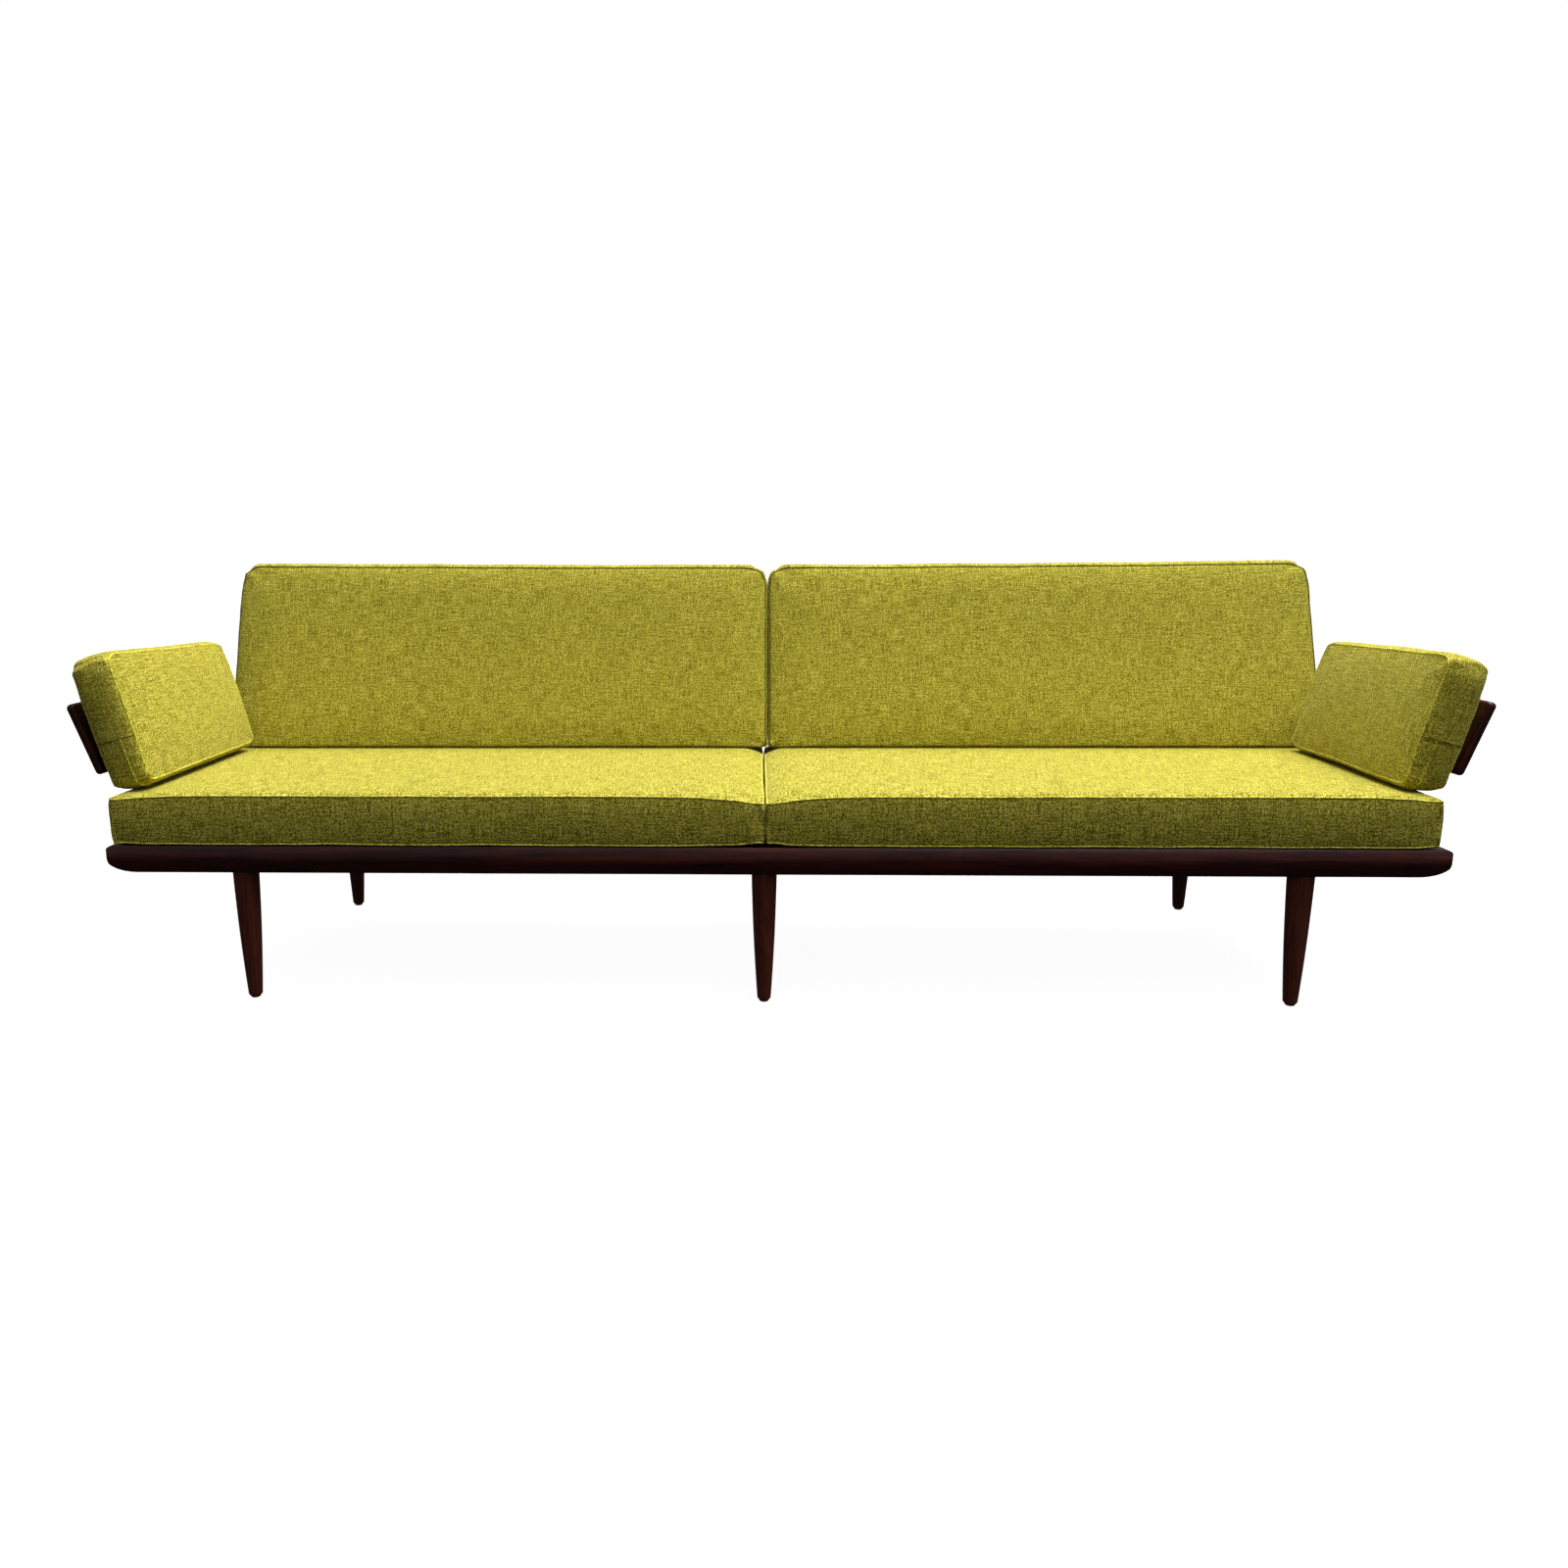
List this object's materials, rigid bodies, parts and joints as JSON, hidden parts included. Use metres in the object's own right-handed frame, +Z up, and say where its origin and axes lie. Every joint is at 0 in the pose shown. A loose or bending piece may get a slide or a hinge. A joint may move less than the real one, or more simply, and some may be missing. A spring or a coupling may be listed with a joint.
{
  "type": "daybed",
  "caption": "Long low wooden daybed on turned tapered legs, with loose seat, back and arm cushions and end arms that drop flat.",
  "frame": {"origin": "on the floor, under the middle of the overall box", "axes": "+X along the length to the sitter's left as seen from the front, -Y to the front, +Z up"},
  "size_m": [2.6664, 0.7801, 0.8126],
  "materials": {
    "dark_hardwood": "satin",
    "pale_hardwood": "matte",
    "dark_steel": "satin",
    "zinc_steel": "satin",
    "brass": "satin",
    "nylon": "matte",
    "wool_tweed": "matte"
  },
  "bodies": {
    "frame": {"front_rail": "dark_hardwood", "rear_rail": "dark_hardwood", "end_rail_left": "dark_hardwood", "end_rail_right": "dark_hardwood", "centre_rail": "dark_hardwood", "leg_front_left": "dark_hardwood", "leg_front_middle": "dark_hardwood", "leg_front_right": "dark_hardwood", "leg_rear_left": "dark_hardwood", "leg_rear_middle": "dark_hardwood", "leg_rear_right": "dark_hardwood", "back_board_lower": "dark_hardwood", "back_board_upper": "dark_hardwood", "seat_slats_left": "pale_hardwood", "seat_slats_right": "pale_hardwood", "ledger_front_left": "pale_hardwood", "ledger_front_right": "pale_hardwood", "ledger_rear_left": "pale_hardwood", "ledger_rear_right": "pale_hardwood", "joint_dowels": "pale_hardwood", "back_brackets": "dark_steel", "corner_plates": "dark_steel", "hinge_boxes_left": "dark_steel", "hinge_boxes_right": "dark_steel", "leg_studs": "zinc_steel", "seat_screws": "zinc_steel", "corner_screws": "zinc_steel", "back_board_screws": "zinc_steel", "back_bracket_bolts": "zinc_steel", "hinge_screws_left": "zinc_steel", "hinge_screws_right": "zinc_steel", "pivot_bolts_left": "zinc_steel", "pivot_bolts_right": "zinc_steel", "wing_nuts_left": "brass", "wing_nuts_right": "brass", "foot_glides": "nylon"},
    "arm_left": {"arm_levers_left": "dark_steel", "arm_board_left": "dark_hardwood", "arm_board_screws_left": "zinc_steel", "arm_cushion_left": "wool_tweed"},
    "arm_right": {"arm_levers_right": "dark_steel", "arm_board_right": "dark_hardwood", "arm_board_screws_right": "zinc_steel", "arm_cushion_right": "wool_tweed"},
    "seat_left": {"seat_cushion_left": "wool_tweed"},
    "seat_right": {"seat_cushion_right": "wool_tweed"},
    "back_left": {"back_cushion_left": "wool_tweed"},
    "back_right": {"back_cushion_right": "wool_tweed"}
  },
  "joints": [
    {"name": "arm_drop_left", "type": "hinge", "parent": "frame", "child": "arm_left", "pos_m": [-1.2435, -0.1041, 0.28], "axis": [0, -1, 0], "range_deg": [0, 70.1]},
    {"name": "arm_drop_right", "type": "hinge", "parent": "frame", "child": "arm_right", "pos_m": [1.2435, -0.1041, 0.28], "axis": [0, 1, 0], "range_deg": [0, 70.1]},
    {"name": "seat_pull_left", "type": "slide", "parent": "frame", "child": "seat_left", "axis": [0, -1, 0], "range_m": [0, 0.25]},
    {"name": "seat_pull_right", "type": "slide", "parent": "frame", "child": "seat_right", "axis": [0, -1, 0], "range_m": [0, 0.25]},
    {"name": "back_lift_left", "type": "slide", "parent": "frame", "child": "back_left", "axis": [0, 0.342, 0.9397], "range_m": [0, 0.25]},
    {"name": "back_lift_right", "type": "slide", "parent": "frame", "child": "back_right", "axis": [0, 0.342, 0.9397], "range_m": [0, 0.25]}
  ]
}
